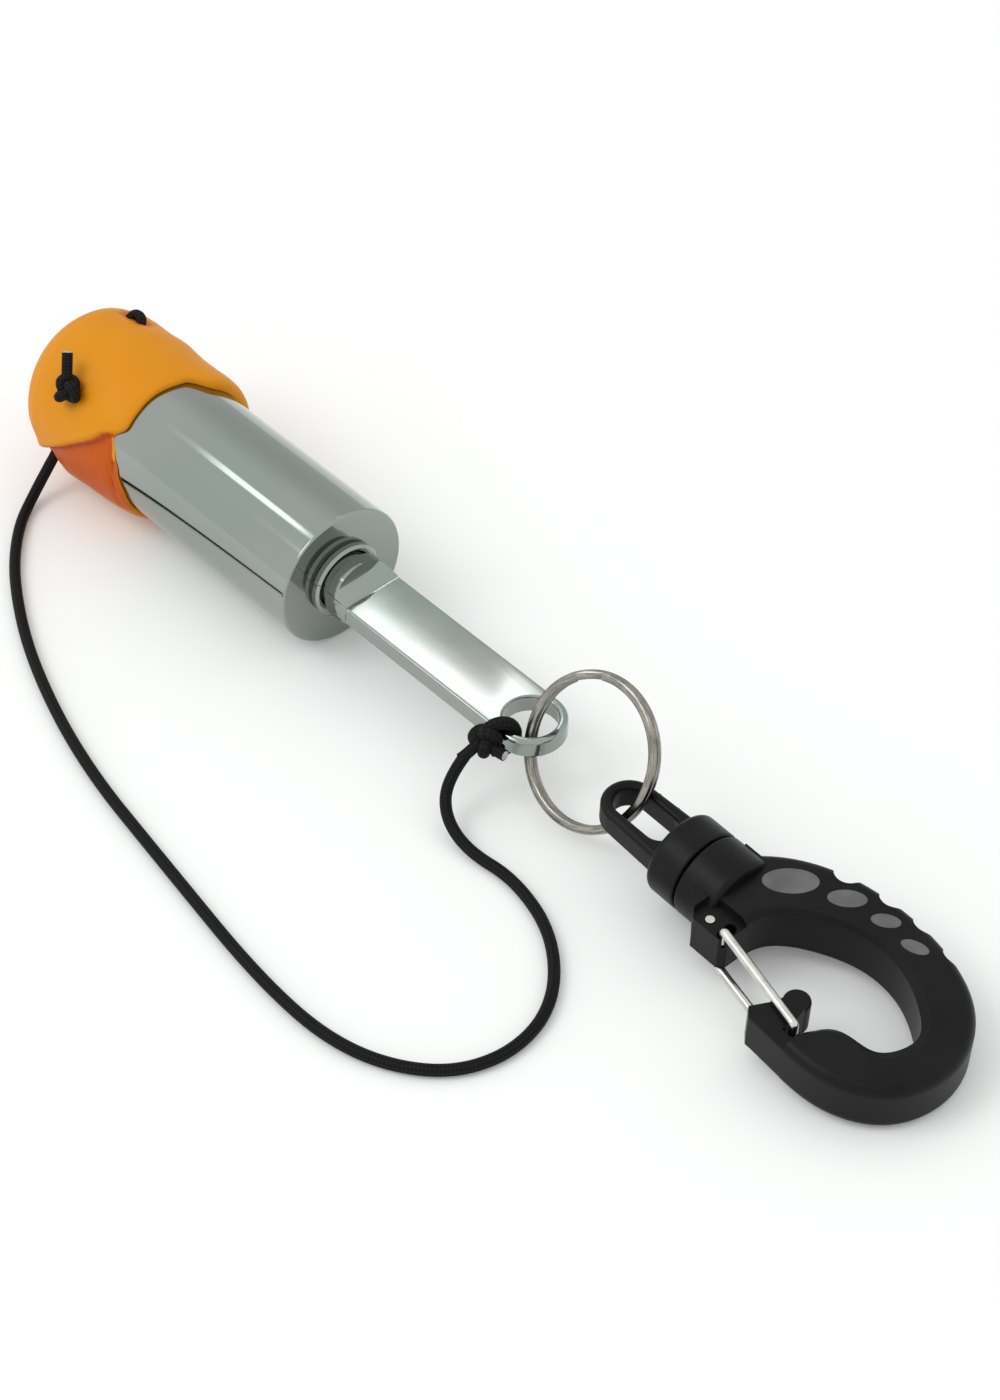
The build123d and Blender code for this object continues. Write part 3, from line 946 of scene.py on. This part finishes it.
# %% Gate wire
WIRE_R = 0.75
LEG_Z = 4.2
gate_points = [
    Vector((25.6, -8.2, 3.55)),
    Vector((25.6, -8.2, -3.25)),
    Vector((25.6, -8.2, -LEG_Z + 0.1)),
    Vector((26.5, -8.4, -LEG_Z)),
    Vector((37.0, -10.7, -LEG_Z)),
    Vector((47.4, -13.0, -LEG_Z)),
    Vector((48.4, -13.2, -LEG_Z + 0.05)),
    Vector((48.4, -13.2, -LEG_Z + 1.1)),
    Vector((48.4, -13.2, 0.0)),
    Vector((48.4, -13.2, LEG_Z - 1.1)),
    Vector((48.4, -13.2, LEG_Z - 0.05)),
    Vector((47.4, -12.97, LEG_Z)),
    Vector((38.7, -10.95, LEG_Z)),
    Vector((30.0, -8.93, LEG_Z)),
    Vector((29.0, -8.7, LEG_Z - 0.05)),
    Vector((29.0, -8.7, LEG_Z - 1.1)),
    Vector((29.0, -8.7, 1.8)),
]
gate_line = smooth_line([hook_place @ (point * MM) for point in gate_points], 10)
gate = skinned("gate_wire_bent", gate_line, round_section(WIRE_R * MM, 20))
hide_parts("gate_wire")
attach(gate, "gate")
wear(gate, steel_finish("gate steel", (0.80, 0.79, 0.75), (0.52, 0.51, 0.47), 0.16))

# %% [markdown]
# ## The plastic bail and hook
# Both are moulded in black acetal. The frame has their shape, so they are copied. Moulding leaves
# a satin skin with a very fine grain and faint cloudy marks where the plastic flowed.

# %% Hook and bail
hook = copied("hook_body", "snap_hook", 32.0)
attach(hook, "hook")
bail = copied("swivel_bail", "bail_loop", 32.0)
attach(bail, "bail")

# %% [markdown]
# ### Nubs on the bail
# One rail of the bail has three small ragged nubs where it was cut from its mould. Each is a ball
# stretched a little and sunk into the rail.


# %% Nubs on the bail
NUB_R = 0.42
NUB_PLACES = ((1.0, 4.95), (5.0, 5.1), (9.2, 5.3))


def nub(name, x, y):
    """A small moulded nub that stands out of the bail's rail, where the moulding was trimmed."""
    bpy.ops.object.select_all(action="DESELECT")
    bpy.ops.mesh.primitive_ico_sphere_add(subdivisions=3, radius=NUB_R * MM)
    piece = bpy.context.active_object
    piece.name = name
    placed(piece, Matrix.Diagonal((1.35, 1.1, 1.5, 1)))
    placed(piece, hook_place @ Matrix.Translation(Vector((x, y, 0.9)) * MM))
    shaded(piece, 60.0)
    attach(piece, "bail")
    return piece


nubs = [nub(f"bail_nub_{i}", x, y) for i, (x, y) in enumerate(NUB_PLACES, start=1)]

# %% Black plastic
PLASTIC_DARK = (0.0035,) * 3
PLASTIC_LIGHT = (0.0065,) * 3


def plastic_finish():
    finish = Finish("black moulded plastic", IOR=1.5, Specular_IOR_Level=0.16)
    here = finish.here(hook_place)
    grain = finish.noise(here, 1800.0, 3.0, 0.6)
    flow = finish.noise(here, 120.0, 2.0, 0.5)
    colour = finish.mixed(flow.between(0.35, 0.7), PLASTIC_DARK, PLASTIC_LIGHT)
    finish.feed("Base Color", colour)
    finish.feed("Roughness", 0.30 + flow * 0.14 + grain * 0.06)
    finish.feed("Normal", finish.bumped(grain + flow * 0.8, 0.02, 0.35))
    return finish


plastic = plastic_finish()
for piece in (hook, bail, *nubs):
    wear(piece, plastic)

# %% [markdown]
# ## Grip pads
# Four oval pads of soft grey rubber are moulded through the spine, and shrink towards the bend.
# Each is a cylinder squashed to an oval, with its rim eased and its faces slightly crowned.

# %% Grip pads
# Each pad's middle in the hook's place, its length, its width and its turn in degrees.
PADS = (
    ((28.8, 5.9), 8.9, 5.1, 48.0),
    ((36.9, 10.0), 6.2, 3.5, 44.0),
    ((43.8, 11.3), 4.7, 2.7, 36.0),
    ((50.2, 10.9), 4.6, 2.4, 20.0),
)
PAD_HALF = 4.7
PAD_INSETS = 6
PAD_CROWN = 0.16
PAD_EASE = 0.05


def grip_pad(number, centre, length, width, turn):
    """One pad: a cylinder of diameter 1 is inset and crowned, and then squashed to its oval."""
    bpy.ops.object.select_all(action="DESELECT")
    bpy.ops.mesh.primitive_cylinder_add(
        vertices=64, radius=0.5, depth=2 * PAD_HALF * MM, end_fill_type="NGON"
    )
    piece = bpy.context.active_object
    piece.name = f"oval_pad_{number}"
    bpy.ops.object.mode_set(mode="EDIT")
    for _ in range(PAD_INSETS):
        bpy.ops.mesh.select_all(action="DESELECT")
        bpy.ops.object.mode_set(mode="OBJECT")
        for face in piece.data.polygons:
            face.select = len(face.vertices) > 4
        bpy.ops.object.mode_set(mode="EDIT")
        bpy.ops.mesh.inset(thickness=0.07, use_even_offset=False)
    bpy.ops.object.mode_set(mode="OBJECT")
    for vertex in piece.data.vertices:
        middle = hypot(vertex.co.x, vertex.co.y) / 0.5
        crown = PAD_CROWN * (1 - middle**2) - PAD_EASE * climb(middle, 0.8, 1.0)
        vertex.co.z += (crown if vertex.co.z > 0 else -crown) * MM
    placed(piece, Matrix.Diagonal((length * MM, width * MM, 1, 1)))
    place = Matrix.Translation(Vector((*centre, 0)) * MM) @ Matrix.Rotation(radians(turn), 4, "Z")
    placed(piece, hook_place @ place)
    shaded(piece, 35.0)
    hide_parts(f"grip_pad_{number}")
    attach(piece, "hook")
    return piece


PAD_DARK = (0.10,) * 3
PAD_LIGHT = (0.14,) * 3


def pad_finish():
    finish = Finish("grey grip rubber", Specular_IOR_Level=0.2)
    here = finish.here(hook_place)
    grain = finish.noise(here, 2200.0, 3.0, 0.7)
    flow = finish.noise(here, 200.0, 2.0, 0.5)
    finish.feed("Base Color", finish.mixed(flow.between(0.3, 0.7), PAD_DARK, PAD_LIGHT))
    finish.feed("Roughness", 0.52 + grain * 0.2)
    finish.feed("Normal", finish.bumped(grain, 0.03, 0.5))
    return finish


pad_rubber = pad_finish()
for number, pad in enumerate(PADS, start=1):
    wear(grip_pad(number, *pad), pad_rubber)

# %% [markdown]
# ## The studio
# A pale floor that glows a little, so that shadows stay faint, a soft key lamp, and small lamps
# whose mirror images draw the long streaks on the chrome. A mirror shows a lamp only where the
# line of sight, turned back by the surface, meets it, so each small lamp's place is worked out
# from the camera and from the streak it has to draw.


# %% Floor
def floor_finish():
    finish = Finish("pale floor", Roughness=0.9)
    finish.shader.inputs["Base Color"].default_value = (0.86, 0.86, 0.86, 1)
    finish.shader.inputs["Emission Color"].default_value = (1, 1, 1, 1)
    finish.shader.inputs["Emission Strength"].default_value = 0.06
    finish.shader.inputs["Specular IOR Level"].default_value = 0.0
    return finish


bpy.ops.object.select_all(action="DESELECT")
bpy.ops.mesh.primitive_plane_add(size=6.0, location=(0, 0, -0.0001))
floor = bpy.context.active_object
floor.name = "floor"
wear(floor, floor_finish())


# %% Lamps
def lamp(name, place, aim, size, size_y, power):
    """An area lamp at a place that faces a point."""
    light = bpy.data.lights.new(name, "AREA")
    light.shape = "RECTANGLE"
    light.size = size
    light.size_y = size_y
    light.energy = power
    made = bpy.data.objects.new(name, light)
    made.location = place
    made.rotation_euler = (Vector(aim) - Vector(place)).to_track_quat("-Z", "Y").to_euler()
    scene.collection.objects.link(made)
    return made


lamp("key", (-0.5, -0.9, 1.3), (0, 0, 0), 0.8, 0.8, 6.0)


# %% Lamps that show in the chrome
def mirror_lamp(name, start, end, out, wide, glow, far=0.6):
    """A lamp placed so that the chrome shows it as a streak from start to end, points in the
    tube's place in millimetres. Out is the surface's own direction there, wide the lamp's width
    in metres and glow its brightness."""
    start, end = tube_place @ (Vector(start) * MM), tube_place @ (Vector(end) * MM)
    out = (tube_place.to_3x3() @ Vector(out)).normalized()
    middle = (start + end) / 2
    sight = middle - camera_at
    scale = 1 + far / sight.length
    sight.normalize()
    away = sight - 2 * sight.dot(out) * out
    line = (end - start) - away * (end - start).dot(away)
    size = line.length * scale
    place = middle + away * far
    made = lamp(name, place, middle, size, wide, glow * pi * size * wide)
    across = line.normalized()
    turn = Matrix((across, away.cross(across), away)).transposed()
    made.matrix_world = Matrix.Translation(place) @ turn.to_4x4()
    return made


STREAK_ANGLE = radians(115)
STREAK_R = 13
streak = (STREAK_R * cos(STREAK_ANGLE), STREAK_R * sin(STREAK_ANGLE))
mirror_lamp("tube_streak", (-27, *streak), (-3, *streak), (0, *streak), 0.07, 2.2)
mirror_lamp("tube_streak_end", (-12, *streak), (-3, *streak), (0, *streak), 0.03, 2.0)
mirror_lamp("handle_streak", (8, -4.9, 1.75), (42, -4.6, 1.75), (0, 0, 1), 0.0062, 4.5, 0.4)
mirror_lamp("handle_end", (40.5, -1.5, 1.75), (48.0, -1.5, 1.75), (0, 0, 1), 0.018, 3.2, 0.4)

# %% [markdown]
# ## The room
# The room is white all round, apart from a greyer stretch near the horizon on the far side, which
# gives the tube its darker flank.


# %% The room
class Room(Finish):
    """The world's own tree, with the same way to add nodes."""

    def __init__(self, name):
        scene.world = bpy.data.worlds.new(name)
        scene.world.use_nodes = True
        self.tree = scene.world.node_tree
        self.shader = self.tree.nodes["Background"]


FAR_SIDE = Vector((-0.55, 0.83, 0.10))
ROOM_WHITE = (0.98, 1.0, 0.985)
ROOM_GREY = (0.72, 0.74, 0.73)
room = Room("white room")
way = room.node("TexCoord", output="Generated")
sockets = {0: way, 1: FAR_SIDE}
facing = room.node("VectorMath", {"operation": "DOT_PRODUCT"}, sockets, output="Value")
room.feed("Color", room.mixed(facing.between(0.5, 0.97), ROOM_WHITE, ROOM_GREY))
scene.view_settings.view_transform = "Standard"
